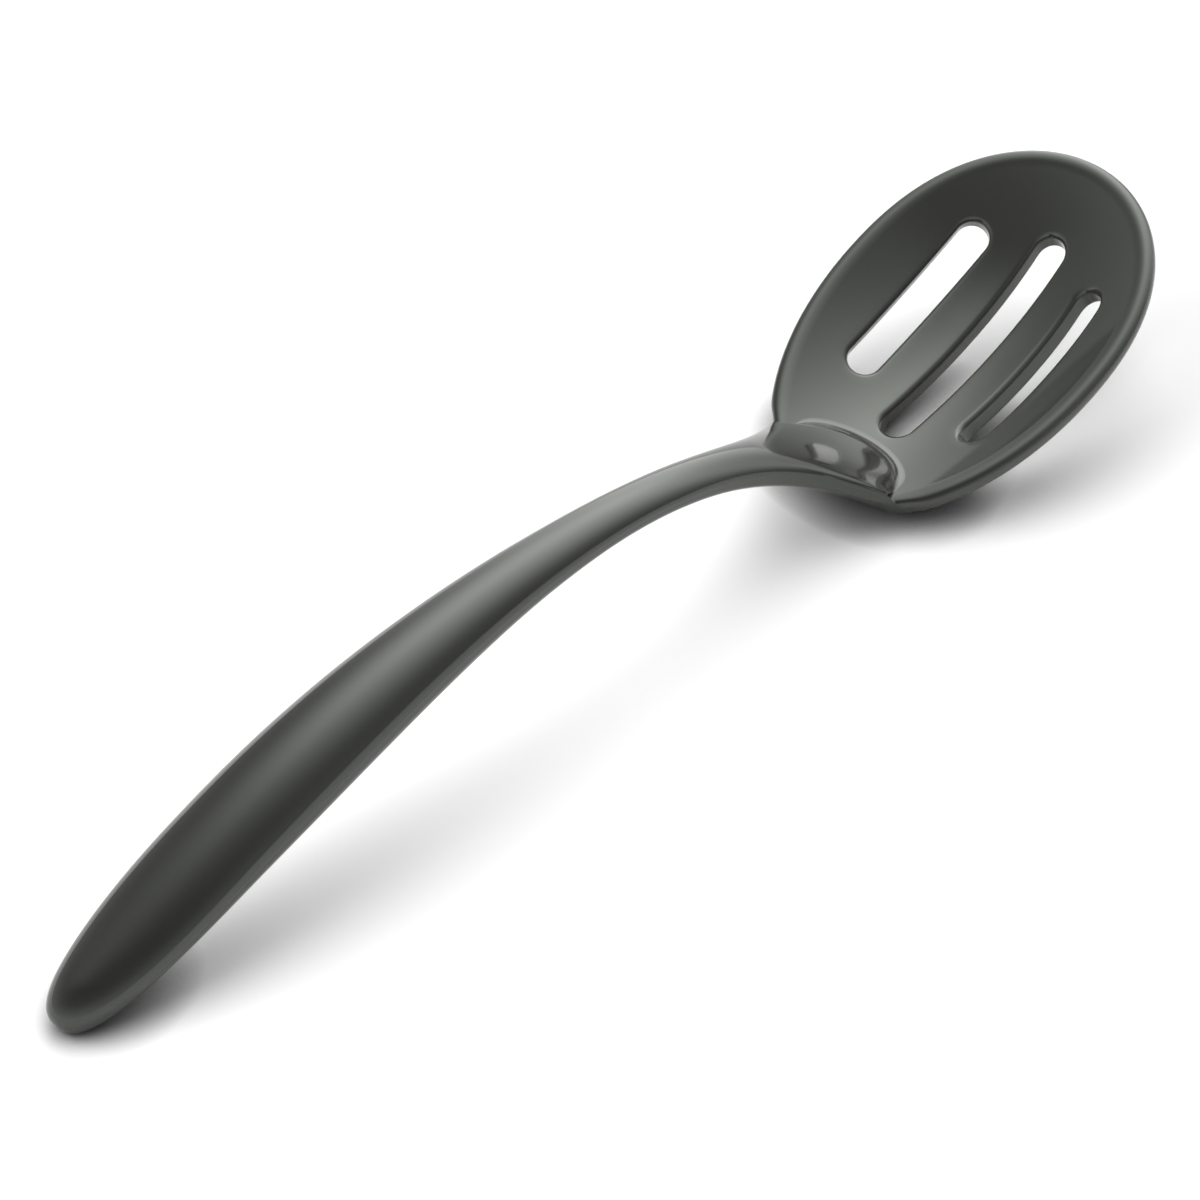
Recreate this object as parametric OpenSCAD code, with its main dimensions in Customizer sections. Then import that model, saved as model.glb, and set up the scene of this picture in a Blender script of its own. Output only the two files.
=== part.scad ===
// Slotted serving spoon with a hollow, arched handle.
// The bowl is one pressing with a short tang, the handle is two half shells, and welds join the three.
// X runs from the tail of the handle to the tip of the bowl, Y to the left and Z up.
// The origin lies on the table, under the middle of the spoon's length.

/* [Bowl] */
// Length of the bowl along its rim, from the neck to the tip
bowl_len = 77; // [68:0.5:88]
// Width of the bowl across its rim
bowl_w = 60.5; // [52:0.5:68]
// Distance along the rim from the neck to the widest place
bowl_mid = 37.5; // [32:0.5:42]
// Tilt of the rim from the table, in degrees
bowl_tilt = 22; // [18:0.5:26]
// Depth of the dish below the rim
dish_depth = 10.2; // [8:0.2:12.4]
// Thickness of the bowl's wall, with its coat
bowl_wall = 4.2; // [3.4:0.1:5]
// Fullness of the tip's outline, where 2 is an ellipse
tip_fullness = 2.3; // [2:0.1:2.8]
// Fullness of the dish's section, where 2 is a parabola
dish_fullness = 1.9; // [1.7:0.1:2.3]

/* [Slots] */
// Width of each slot
slot_w = 6.5; // [5:0.1:8]
// Distance between the middle lines of neighbouring slots
slot_pitch = 14.6; // [12:0.1:17]
// Distance from the neck to the middle slot
mid_slot_start = 11.8; // [11:0.2:15]
// Distance from the middle slot to the tip
mid_slot_end = 14.8; // [12:0.2:20]
// Distance from the neck to the outer slots
side_slot_start = 18.6; // [16:0.2:24]
// Distance from the outer slots to the tip
side_slot_end = 20.4; // [17:0.2:26]

/* [Handle] */
// Length of the handle over the table, from the tail to the neck
handle_len = 187.5; // [160:0.5:210]
// Height of the handle's middle line at the top of its arch
arch_h = 31.4; // [26:0.2:38]
// Place of the arch's top, as a share of the handle from the tail
arch_at = 0.592; // [0.55:0.002:0.64]
// How the arch falls to the tail, where 2 is a parabola
tail_fall = 1.8; // [1.7:0.05:2.1]
// How the arch falls to the neck, where 2 is a parabola
neck_fall = 2.4; // [2.2:0.05:2.8]
// Width of the grip at its widest
grip_w = 18.8; // [16:0.2:23]
// Place of the widest grip, as a share of the handle from the tail
grip_at = 0.22; // [0.18:0.01:0.28]
// Thickness of the grip at its thickest
belly_t = 13.2; // [11:0.2:16]
// Place of the thickest grip, as a share of the handle from the tail
belly_at = 0.31; // [0.24:0.01:0.36]
// Thickness of the handle at the tail, before its end is rounded
tail_t = 9.6; // [8:0.2:12]
// Width of the handle at its waist
waist_w = 9; // [8:0.2:11]
// Thickness of the handle at its waist
waist_t = 6.3; // [5.6:0.1:7.6]
// Place of the waist, as a share of the handle from the tail
waist_at = 0.77; // [0.72:0.01:0.8]
// Thickness of the wall of each half shell, with its coat
shell_wall = 1.2; // [0.8:0.1:1.5]
// Length over which the tail narrows
tail_taper = 37; // [28:1:48]
// Length over which the top of the tail rounds down
top_taper = 8; // [6:0.5:14]
// Length over which the underside of the tail rounds up
under_taper = 22; // [16:0.5:32]
// Fullness of the tail's rounding, where 2 is an ellipse
tail_fullness = 2.5; // [2:0.1:3]

/* [Neck] */
// Width of the bowl and the handle where they meet
neck_w = 33.6; // [30:0.2:37]
// Thickness of the handle where it meets the bowl
neck_t = 6.8; // [6.4:0.1:8]
// Drop from the bowl's rim to the middle line of the handle
neck_drop = 0.7; // [0.4:0.1:1.2]
// Sharpness of the handle's flare from the waist to the neck
flare_sharpness = 3.3; // [2.9:0.1:4.4]
// Squareness of the handle's section at the neck, where 2 is an ellipse
neck_squareness = 2.5; // [2.2:0.1:3.2]
// Rise of the handle's widest line above its middle line at the neck
shoulder_rise = 0.6; // [0.2:0.1:1.4]
// Reach of the top shell's nose into the dish
nose_len = 8; // [6:0.2:10]
// Distance from the neck back to where the nose starts, on the middle line
nose_back = 13; // [10:0.5:16]
// Distance from the neck back to where the edges of the half shells turn in to the bowl
edge_back = 3; // [2.4:0.1:4]
// Length of the tang inside the handle
tang_len = 22; // [12:0.5:30]
// Width of the tang
tang_w = 5.6; // [4:0.1:6]
// Thickness of the tang
tang_t = 1.5; // [1:0.1:1.8]

/* [Welds] */
// Height of the weld between the two half shells
seam_w = 0.8; // [0.6:0.1:1.2]
// Leg of the fillet weld between the nose and the dish
fillet_leg = 1.8; // [1.2:0.1:2.2]
// Width of the weld between the bottom shell and the bowl
lip_weld_w = 0.8; // [0.6:0.1:1.2]
// Fitting gap between pieces before welding
fit_gap = 0.1; // [0.05:0.05:0.2]

/* [Hidden] */
$fn = 48;

coat = "#474a47";
weld = "#525652";

// Numbers of facets: along the bowl's side, across its neck, out from its middle and round its rim
outline_steps = 30;
back_steps = 8;
dish_steps = 9;
rim_steps = 6;
// Numbers of facets: along the handle, across a half shell, round the rim's end, along the nose and the tang
handle_steps = 40;
shell_steps = 18;
edge_steps = 2;
nose_steps = 4;
tang_steps = 5;
// How far the rows crowd towards the tail, where 1 is even
crowding = 1.5;
// Fullness of the bow along which the nose starts, and the angle of its ends on the half shell, in degrees
nose_bow = 10;
ridge_angle = 8;
// How the widest line climbs from the waist to the neck, where 1 is a straight line
shoulder_climb = 1.5;
// Hollowness of the fillet weld's face, where 0.5 is flat
fillet_hollow = 0.35;
// Small step for slopes, and the number of turns in which the tail settles on the table
probe = 0.001;
settle_turns = 6;
// Least area of a facet
least_area = 0.000001;

// The rim is a half round of the wall's own thickness
rim_r = bowl_wall / 2;
dish_half = bowl_w / 2 - rim_r;
neck_half = neck_w / 2;
dish_neck = neck_half - rim_r;
dish_back = bowl_mid / sqrt(1 - pow(dish_neck / dish_half, 2));
dish_front = bowl_len - rim_r - bowl_mid;

// Bowl places: u runs along the rim plane from the neck, v to the left, w up from the rim plane
function reach(u) =
    u < bowl_mid ? pow((bowl_mid - u) / dish_back, 2) : pow((u - bowl_mid) / dish_front, tip_fullness);
function dish(u, v) =
    let (r = sqrt(min(1, reach(u) + pow(v / dish_half, 2))))
    -dish_depth * (1 - pow(r, dish_fullness));
function dish_edge(u) = dish_half * sqrt(max(0, 1 - reach(u)));

// The rim's height at the neck is the one that rests the underside of the bowl on the table
function under_bowl(u) = u * sin(bowl_tilt) + (dish(u, 0) - bowl_wall) * cos(bowl_tilt);
rim_h = -min([for (k = [0 : outline_steps])
    under_bowl(-lip_weld_w + (bowl_mid + lip_weld_w) * k / outline_steps)]);

function bowl_place(u, v, w) = [
    neck_x + u * cos(bowl_tilt) - w * sin(bowl_tilt),
    v,
    rim_h + u * sin(bowl_tilt) + w * cos(bowl_tilt)
];

// Handle places: f is the share of the handle's length from the tail
neck_h = rim_h - neck_drop;
function ease(t) = (1 - cos(180 * min(max(t, 0), 1))) / 2;
function spine_h(f, tail_h) =
    f < arch_at
        ? arch_h - (arch_h - tail_h) * pow((arch_at - f) / arch_at, tail_fall)
        : arch_h - (arch_h - neck_h) * pow((f - arch_at) / (1 - arch_at), neck_fall);
function spine_angle(f, tail_h) =
    atan((spine_h(f + probe, tail_h) - spine_h(f - probe, tail_h)) / (2 * probe * handle_len));
function tail_cap(d, run) =
    let (t = min(max(1 - d / run, 0), 1))
    pow(1 - pow(t, tail_fullness), 1 / tail_fullness);
// Share of the way from the waist to the neck
function neck_share(f) = max(0, (f - waist_at) / (1 - waist_at));
function half_width(f, inset) =
    let (
        grip = grip_w + (waist_w - grip_w) * ease((f - grip_at) / (waist_at - grip_at)),
        spread = (neck_w - waist_w) * pow(neck_share(f), flare_sharpness)
    )
    ((grip + spread) / 2 - inset) * tail_cap(f * handle_len - inset, tail_taper);
function thickness(f) =
    f < belly_at ? tail_t + (belly_t - tail_t) * ease(f / belly_at)
        : f < waist_at ? belly_t + (waist_t - belly_t) * ease((f - belly_at) / (waist_at - belly_at))
        : waist_t + (neck_t - waist_t) * ease(neck_share(f));
function shoulder(f) = shoulder_rise * pow(neck_share(f), shoulder_climb);
function half_rise(f, inset, up) =
    (thickness(f) / 2 - up * shoulder(f) - seam_w / 2 - inset)
        * tail_cap(f * handle_len - inset, up > 0 ? top_taper : under_taper);

// The tail's middle line stands at the height that rests its underside on the table
function tail_low(tail_h) =
    min([for (k = [1 : handle_steps]) let (f = arch_at / 2 * k / handle_steps)
        spine_h(f, tail_h) - (seam_w / 2 + half_rise(f, 0, -1)) * cos(spine_angle(f, tail_h))]);
function settle(tail_h, turns) = turns == 0 ? tail_h : settle(tail_h - tail_low(tail_h), turns - 1);
tail_h = settle(tail_t / 2, settle_turns);

// The neck's place puts the middle of the whole length, from the tail to the tip, at x = 0
edge_share = 1 - edge_back / handle_len;
handle_shares = [for (i = [0 : handle_steps]) edge_share * pow(i / handle_steps, crowding)];
tail_reach = max([for (f = handle_shares)
    handle_len * (1 - f) + (seam_w / 2 + half_rise(f, 0, 1)) * sin(spine_angle(f, tail_h))]);
tip_reach = (bowl_len - rim_r) * cos(bowl_tilt) + rim_r * sin(bowl_tilt) + rim_r;
neck_x = (tail_reach - tip_reach) / 2;

// A point beside the handle's middle line: y to the left and n square to the line, in the upright plane
function beside_spine(f, y, n) =
    let (a = spine_angle(f, tail_h))
    [neck_x - handle_len * (1 - f) - n * sin(a), y, spine_h(f, tail_h) + n * cos(a)];
function squareness(f) = 2 + (neck_squareness - 2) * ease(neck_share(f));
// A point on a half shell's skin, at angle a from its right edge; up is 1 for the top and -1 for the bottom
function shell_point(f, inset, a, up) =
    let (
        n = squareness(f),
        rise = pow(max(0, 1 - pow(abs(cos(a)), n)), 1 / n)
    )
    beside_spine(f, -half_width(f, inset) * cos(a),
        shoulder(f) + up * (seam_w / 2 + half_rise(f, inset, up) * rise));
// The rows of the top shell bow back from the neck along the line where its nose starts
function bowed(f, a, up) =
    f * (1 - max(0, up) * (nose_back - edge_back) / handle_len * (1 - pow(abs(cos(a)), nose_bow)));
// The inside skin starts one wall in from the tail
function inside_share(f) = (shell_wall + f * (handle_len - shell_wall)) / handle_len;
shell_angles = [for (j = [0 : shell_steps]) 180 * j / shell_steps];
// At the neck the first and last columns of the top shell close up, so that the nose reaches its edges
function neck_angle(j) =
    j < edge_steps ? ridge_angle * j / edge_steps
        : j > shell_steps - edge_steps ? 180 - ridge_angle * (shell_steps - j) / edge_steps
        : ridge_angle + (180 - 2 * ridge_angle) * (j - edge_steps) / (shell_steps - 2 * edge_steps);
function row_angle(j, f, up) =
    shell_angles[j] + max(0, up) * (neck_angle(j) - shell_angles[j]) * ease(neck_share(f));
function shell_row(f, up) = concat(
    [for (j = [0 : shell_steps]) let (a = row_angle(j, f, up)) shell_point(bowed(f, a, up), 0, a, up)],
    [for (j = [shell_steps : -1 : 0])
        let (a = row_angle(j, f, up)) shell_point(inside_share(bowed(f, a, up)), shell_wall, a, up)]
);

// The front edge of the top shell runs up round the end of the rim and along a half oval in the dish
function crease(p, inset) =
    let (u = (nose_len - inset) * sin(p), v = -(dish_neck - inset) * cos(p))
    bowl_place(u, v, dish(u, v) + fit_gap);
function crease_angle(j) = 180 * (j - edge_steps) / (shell_steps - 2 * edge_steps);
function rim_end(k, side, inset) =
    let (turn = 90 * k / edge_steps, r = rim_r - inset)
    bowl_place(-fit_gap, side * (dish_neck + r * cos(turn)), -rim_r + r * sin(turn));
function front_point(j, inset) =
    j < edge_steps ? rim_end(j, -1, inset)
        : j > shell_steps - edge_steps ? rim_end(shell_steps - j, 1, inset)
        : crease(crease_angle(j), inset);

// Tells whether a triangle has an area: those at the tip of the tail and the middle of the dish close up
function is_face(points, t) =
    norm(cross(points[t[1]] - points[t[0]], points[t[2]] - points[t[0]])) > least_area;
// Skins a list of loops with triangles; each loop is an outer run and then an inner run back
module skin(rows) {
    n = len(rows[0]);
    last = len(rows) - 1;
    points = [for (row = rows) each row];
    sides = [for (i = [0 : last - 1], j = [0 : n - 1])
        let (a = i * n + j, b = i * n + (j + 1) % n)
        each [[a, a + n, b + n], [a, b + n, b]]];
    ends = [for (j = [0 : n / 2 - 2])
        let (a = j, b = j + 1, c = n - 2 - j, d = n - 1 - j, o = last * n)
        each [[a, b, c], [a, c, d], [o + c, o + b, o + a], [o + d, o + c, o + a]]];
    polyhedron(points, [for (t = concat(ends, sides)) if (is_face(points, t)) t]);
}

// Outline of the dish, anticlockwise from the right corner of the neck, with the way out at each point.
// Its points crowd towards the tip, where it turns most.
function outline_share(k) = 1 - pow(1 - k / outline_steps, 2);
right_side = [for (k = [0 : outline_steps])
    let (u = (bowl_len - rim_r) * outline_share(k)) [u, -dish_edge(u)]];
left_side = [for (k = [outline_steps - 1 : -1 : 0]) [right_side[k][0], -right_side[k][1]]];
neck_side = [for (k = [1 : back_steps - 1]) [0, dish_neck * (1 - 2 * k / back_steps)]];
outline = concat(right_side, left_side, neck_side);
function way_out(k) =
    let (n = len(outline), d = outline[(k + 1) % n] - outline[(k + n - 1) % n])
    k == 0 ? [0, -1]
        : k == 2 * outline_steps ? [0, 1]
        : k > 2 * outline_steps ? [0, 0]
        : [d[1], -d[0]] / norm(d);
function dish_row(share, drop) = [for (o = outline)
    let (u = bowl_mid + share * (o[0] - bowl_mid), v = share * o[1])
    bowl_place(u, v, dish(u, v) - drop)];
function rim_row(turn) = [for (k = [0 : len(outline) - 1])
    let (p = outline[k] + rim_r * sin(turn) * way_out(k))
    bowl_place(p[0], p[1], dish(outline[k][0], outline[k][1]) - rim_r * (1 - cos(turn)))];

// Each slot goes through the wall square to the dish
module slot_cut(v, start, end) {
    length = bowl_len - start - end;
    middle = start + length / 2;
    lean = atan((dish(middle, v + probe) - dish(middle, v - probe)) / (2 * probe));
    translate([neck_x, 0, rim_h])
    rotate([0, -bowl_tilt, 0])
    translate([middle, v, dish(middle, v)])
    rotate([lean, 0, 0])
    linear_extrude(2 * (dish_depth + bowl_wall), center = true) {
        square([length - slot_w, slot_w], center = true);
        for (side = [-1, 1]) translate([side * (length - slot_w) / 2, 0]) circle(d = slot_w);
    }
}

// The tang leaves the middle of the bowl's wall and follows the middle line of the handle
function tang_place(k) =
    k == 0 ? bowl_place(bowl_wall, 0, dish(bowl_wall, 0) - rim_r)
        : beside_spine(1 - tang_len / handle_len * k / tang_steps, 0, 0);
module tang() {
    angle = spine_angle(1 - tang_len / handle_len / 2, tail_h);
    rise = [-sin(angle), 0, cos(angle)] * tang_t / 2;
    side = [0, tang_w / 2, 0];
    skin([for (k = [0 : tang_steps])
        let (c = tang_place(k))
        [c - side - rise, c - side + rise, c + side + rise, c + side - rise]]);
}

module slotted_bowl() {
    color(coat) {
        difference() {
            skin(concat(
                [for (i = [0 : dish_steps]) dish_row(i / dish_steps, bowl_wall)],
                [for (i = [rim_steps - 1 : -1 : 1]) rim_row(180 * i / rim_steps)],
                [for (i = [dish_steps : -1 : 0]) dish_row(i / dish_steps, 0)]
            ));
            slot_cut(0, mid_slot_start, mid_slot_end);
            for (side = [-1, 1]) slot_cut(side * slot_pitch, side_slot_start, side_slot_end);
        }
        tang();
    }
}

module handle_top_shell() {
    root = shell_row(edge_share, 1);
    front = concat(
        [for (j = [0 : shell_steps]) front_point(j, 0)],
        [for (j = [shell_steps : -1 : 0]) front_point(j, shell_wall)]
    );
    color(coat) skin(concat(
        [for (k = [nose_steps : -1 : 1]) root + (front - root) * k / nose_steps],
        [for (i = [handle_steps : -1 : 0]) shell_row(handle_shares[i], 1)]
    ));
}

// The lower back edge of the bowl, which the bottom shell meets across a weld
function lip_point(y, up, back) =
    let (
        over = max(0, abs(y) - dish_neck) / rim_r,
        edge = -rim_r * (1 + sqrt(max(0, 1 - over * over))),
        floor = dish(-back, y) - bowl_wall
    )
    bowl_place(-back, y, (over > 0 ? edge : floor) + up);
function lip_row(back) = concat(
    [for (a = shell_angles) lip_point(-neck_half * cos(a), 0, back)],
    [for (a = shell_angles) lip_point((neck_half - shell_wall) * cos(a), shell_wall, back)]
);

module handle_bottom_shell() {
    color(coat) skin(concat(
        [for (f = handle_shares) shell_row(f, -1)],
        [lip_row(lip_weld_w)]
    ));
}

module handle_seam_weld() {
    function seam_point(f, inset, side, up) =
        beside_spine(f, side * half_width(f, inset), shoulder(f) + up * seam_w / 2);
    function seam_row(k) =
        let (f = handle_shares[abs(k)], g = inside_share(f), side = sign(k))
        [
            seam_point(f, 0, side, 1), seam_point(f, 0, side, -1),
            seam_point(g, shell_wall, side, -1), seam_point(g, shell_wall, side, 1)
        ];
    // At each front corner the weld narrows to where the half shells and the bowl meet
    function seam_front(side) = [
        rim_end(0, side, 0), lip_point(side * neck_half, 0, lip_weld_w),
        lip_point(side * (neck_half - shell_wall), shell_wall, lip_weld_w), rim_end(0, side, shell_wall)
    ];
    color(weld) skin(concat(
        [seam_front(1)],
        [for (k = [handle_steps : -1 : -handle_steps]) seam_row(k)],
        [seam_front(-1)]
    ));
}

module nose_weld() {
    function bead_row(j) =
        let (
            a = neck_angle(j),
            root = crease(crease_angle(j), 0),
            along = shell_point(bowed(edge_share, a, 1), 0, a, 1) - root,
            top = fillet_leg * along / norm(along),
            toe = crease(crease_angle(j), -fillet_leg) - root
        )
        [root, root + toe, root + fillet_hollow * (toe + top), root + top];
    color(weld) skin([for (j = [shell_steps - edge_steps - 1 : -1 : edge_steps + 1]) bead_row(j)]);
}

module lip_weld() {
    color(weld) skin([lip_row(lip_weld_w), lip_row(fit_gap)]);
}

slotted_bowl();
handle_top_shell();
handle_bottom_shell();
handle_seam_weld();
nose_weld();
lip_weld();
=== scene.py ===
# %% [markdown]
# A slotted serving spoon in one glossy coat.
# The real spoon is a pressed bowl on a hollow handle of two half shells. The welds that join them are ground
# smooth, and a thick dark enamel covers everything, so the eye follows long reflections over the whole spoon.
# Reflections show every facet, so each piece is made again here from the construction's own formulas, with
# many more points, rounded edges, and shading that runs on from piece to piece.

import bmesh
import bpy
import numpy as np
from mathutils import Matrix, Vector, geometry


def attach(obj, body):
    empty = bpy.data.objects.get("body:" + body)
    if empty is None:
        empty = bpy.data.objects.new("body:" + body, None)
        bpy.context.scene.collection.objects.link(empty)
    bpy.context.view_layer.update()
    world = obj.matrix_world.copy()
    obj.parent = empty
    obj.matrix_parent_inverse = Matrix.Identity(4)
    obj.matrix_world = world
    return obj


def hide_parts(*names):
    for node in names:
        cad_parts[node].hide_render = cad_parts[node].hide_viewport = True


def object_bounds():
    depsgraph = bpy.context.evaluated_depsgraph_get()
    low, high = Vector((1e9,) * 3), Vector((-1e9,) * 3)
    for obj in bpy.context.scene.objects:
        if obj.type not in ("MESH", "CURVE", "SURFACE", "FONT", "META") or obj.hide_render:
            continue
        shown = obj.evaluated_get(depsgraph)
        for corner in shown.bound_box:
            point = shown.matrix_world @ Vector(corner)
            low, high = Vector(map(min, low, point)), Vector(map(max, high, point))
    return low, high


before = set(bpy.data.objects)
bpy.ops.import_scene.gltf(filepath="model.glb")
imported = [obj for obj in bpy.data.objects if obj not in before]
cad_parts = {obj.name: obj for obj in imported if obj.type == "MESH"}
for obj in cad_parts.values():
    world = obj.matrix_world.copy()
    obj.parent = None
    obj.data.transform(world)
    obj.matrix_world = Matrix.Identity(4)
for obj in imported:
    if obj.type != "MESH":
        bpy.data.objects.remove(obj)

MM = 0.001
cad_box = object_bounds()
print("construction box in mm:", [[round(c / MM, 1) for c in corner] for corner in cad_box])

# %% [markdown]
# The dish of the bowl is an oval hollow. It could be sculpted, or grown from a subdivided cage, but a formula
# gives exactly the hollow that the construction has. Places on the bowl are given in its own tilted frame:
# u along the rim from the neck, v to the left, and w up from the plane of the rim.

# %% Sizes of the bowl, in millimetres
bowl_len = 77.0
bowl_w = 60.5
bowl_mid = 37.5
bowl_tilt = np.radians(22)
bowl_wall = 4.2
dish_depth = 10.2
dish_fullness = 1.9
tip_fullness = 2.3
neck_w = 33.6
lip_weld_w = 0.8

rim_r = bowl_wall / 2
neck_half = neck_w / 2
dish_half = bowl_w / 2 - rim_r
dish_neck = neck_half - rim_r
dish_back = bowl_mid / np.sqrt(1 - (dish_neck / dish_half) ** 2)
dish_front = bowl_len - rim_r - bowl_mid
print("from its middle the dish reaches", round(dish_back, 1), "mm back,", round(dish_front, 1), "mm forward")

# %% The hollow of the dish
probe = 0.01


def ease(t):
    """A smooth step from 0 to 1."""
    return (1 - np.cos(np.pi * np.clip(t, 0, 1))) / 2


def reach(u):
    """How far a place lies along the dish, squared: 0 at the widest place and 1 at the tip."""
    back = np.clip(bowl_mid - u, 0, None) / dish_back
    front = np.clip(u - bowl_mid, 0, None) / dish_front
    return back ** 2 + front ** tip_fullness


def dish(u, v):
    """Height of the dish, which lies below the plane of the rim."""
    r = np.sqrt(np.minimum(1, reach(u) + (v / dish_half) ** 2))
    return -dish_depth * (1 - r ** dish_fullness)


def dish_slopes(u, v):
    """Slopes of the dish along u and along v, from two probes on either side of the place."""
    along = (dish(u + probe, v) - dish(u - probe, v)) / (2 * probe)
    across = (dish(u, v + probe) - dish(u, v - probe)) / (2 * probe)
    return along, across


under_u = np.linspace(-lip_weld_w, bowl_mid, 200)
under_w = dish(under_u, 0 * under_u) - bowl_wall
rim_h = -np.min(under_u * np.sin(bowl_tilt) + under_w * np.cos(bowl_tilt))
print("the rim stands", round(rim_h, 2), "mm above the table at the neck")

# %% [markdown]
# The handle is a tube that swells at the grip, draws in at the waist and flares into the bowl. Its middle
# line is an arch. Blender could loft it through curves, but here too the construction's formulas place
# every point: f is the share of the handle's length from the tail, and a goes round half of the section, in
# radians.

# %% Sizes of the handle, in millimetres
handle_len = 187.5
arch_h = 31.4
arch_at = 0.592
tail_fall = 1.8
neck_fall = 2.4
grip_w = 18.8
grip_at = 0.22
belly_t = 13.2
belly_at = 0.31
tail_t = 9.6
waist_w = 9.0
waist_t = 6.3
waist_at = 0.77
shell_wall = 1.2
tail_taper = 37.0
top_taper = 8.0
under_taper = 22.0
tail_fullness = 2.5
neck_t = 6.8
neck_drop = 0.7
flare_sharpness = 3.3
neck_squareness = 2.5
shoulder_rise = 0.6
shoulder_climb = 1.5
seam_w = 0.8
neck_h = rim_h - neck_drop
print("the handle's middle line meets the bowl", round(neck_h, 2), "mm above the table")


# %% The handle's arch
def spine_h(f, tail_h):
    """Height of the handle's middle line."""
    tail = (arch_h - tail_h) * (np.clip(arch_at - f, 0, None) / arch_at) ** tail_fall
    neck = (arch_h - neck_h) * (np.clip(f - arch_at, 0, None) / (1 - arch_at)) ** neck_fall
    return arch_h - tail - neck


def spine_angle(f, tail_h):
    """Slope of the middle line, in radians."""
    step = 0.001
    return np.arctan((spine_h(f + step, tail_h) - spine_h(f - step, tail_h)) / (2 * step * handle_len))


# %% The handle's section
def tail_cap(f, run):
    """How the tail's end closes over a length, from 0 at its tip to 1."""
    t = np.clip(1 - f * handle_len / run, 0, 1)
    return (1 - t ** tail_fullness) ** (1 / tail_fullness)


def neck_share(f):
    """Share of the way from the waist to the neck."""
    return np.clip((f - waist_at) / (1 - waist_at), 0, None)


def half_width(f):
    """Half of the handle's width."""
    grip = grip_w + (waist_w - grip_w) * ease((f - grip_at) / (waist_at - grip_at))
    spread = (neck_w - waist_w) * neck_share(f) ** flare_sharpness
    return (grip + spread) / 2 * tail_cap(f, tail_taper)


def thickness(f):
    """Thickness of the handle, square to its middle line."""
    swell = (belly_t - tail_t) * ease(f / belly_at)
    draw_in = (waist_t - belly_t) * ease((f - belly_at) / (waist_at - belly_at))
    spread = (neck_t - waist_t) * ease(neck_share(f))
    return tail_t + swell + draw_in + spread


def shoulder(f):
    """Rise of the widest line above the middle line."""
    return shoulder_rise * neck_share(f) ** shoulder_climb


def half_rise(f, up):
    """Rise of a half shell above its edge; up is 1 for the top shell and -1 for the bottom one."""
    cap = tail_cap(f, top_taper if up > 0 else under_taper)
    return (thickness(f) / 2 - up * shoulder(f) - seam_w / 2) * cap


# %% Where the handle lies
def tail_low(tail_h):
    """Lowest point of the tail's underside."""
    f = np.linspace(0.001, arch_at / 2, 400)
    return np.min(spine_h(f, tail_h) - (seam_w / 2 + half_rise(f, -1)) * np.cos(spine_angle(f, tail_h)))


# The tail is let down until it touches the table. Each turn takes away most of the gap that is left.
let_down_turns = 6
tail_h = tail_t / 2
for _ in range(let_down_turns):
    tail_h -= tail_low(tail_h)

shares = np.linspace(0, 1, 2000)
tail_lean = np.sin(spine_angle(shares, tail_h))
tail_reach = np.max(handle_len * (1 - shares) + (seam_w / 2 + half_rise(shares, 1)) * tail_lean)
tip_reach = (bowl_len - rim_r) * np.cos(bowl_tilt) + rim_r * np.sin(bowl_tilt) + rim_r
neck_x = (tail_reach - tip_reach) / 2
print("the neck lies at x =", round(neck_x, 2), "mm, and the tail's middle line at z =", round(tail_h, 2))


# %% Places on the bowl and on the handle
def stack(*parts):
    """Coordinates side by side, as an array of points."""
    return np.stack(np.broadcast_arrays(*parts), -1)


def bowl_turn(d):
    """A direction in the bowl's frame, turned into the spoon's frame."""
    c, s = np.cos(bowl_tilt), np.sin(bowl_tilt)
    return stack(d[..., 0] * c - d[..., 2] * s, d[..., 1], d[..., 0] * s + d[..., 2] * c)


def bowl_place(u, v, w):
    """A place in the bowl's frame, turned into the spoon's frame."""
    return bowl_turn(stack(u, v, w)) + (neck_x, 0, rim_h)


def shell_point(f, a, up):
    """A place on a half shell, at angle a from its right edge."""
    square = 2 + (neck_squareness - 2) * ease(neck_share(f))
    rise = np.clip(1 - np.abs(np.cos(a)) ** square, 0, None) ** (1 / square)
    n = shoulder(f) + up * (seam_w / 2 + half_rise(f, up) * rise)
    lean = spine_angle(f, tail_h)
    x = neck_x - handle_len * (1 - f) - n * np.sin(lean)
    return stack(x, -half_width(f) * np.cos(a), spine_h(f, tail_h) + n * np.cos(lean))


# %% [markdown]
# Every piece becomes a closed mesh, and a few helpers serve them all. One finds the direction that each point
# of a grid of points faces, from its neighbours. Another makes the mesh and hands these directions to Blender
# as custom normals. Left alone, Blender would shade the edge of a piece by its own faces only, and the coat
# would show a hairline at every weld. With shared normals it runs on unbroken.

# %% Helpers for grids
def unit(d):
    """Directions at length 1; those of no length stay as they are."""
    size = np.linalg.norm(d, axis=-1, keepdims=True)
    return d / np.where(size > 1e-9, size, 1)


def grid_normals(grid):
    """Directions that the inner points of a grid face; its outermost rows and columns only help."""
    down = grid[2:, 1:-1] - grid[:-2, 1:-1]
    across = grid[1:-1, 2:] - grid[1:-1, :-2]
    return unit(np.cross(down, across))


def grid_faces(rows, columns, closed):
    """Corner numbers of a grid's faces, row by row; closed joins its last column to the first."""
    ends = columns if closed else columns - 1
    i, j = np.meshgrid(np.arange(rows - 1), np.arange(ends), indexing="ij")
    a = (i * columns + j).ravel()
    b = (i * columns + (j + 1) % columns).ravel()
    return np.stack([a, a + columns, b + columns, b], 1).tolist()


def ring_faces(rows, columns):
    """Corner numbers of the faces of a grid whose last row joins its first."""
    last = (rows - 1) * columns
    closing = [[last + j, j, j + 1, last + j + 1] for j in range(columns - 1)]
    return grid_faces(rows, columns, False) + closing


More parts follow.
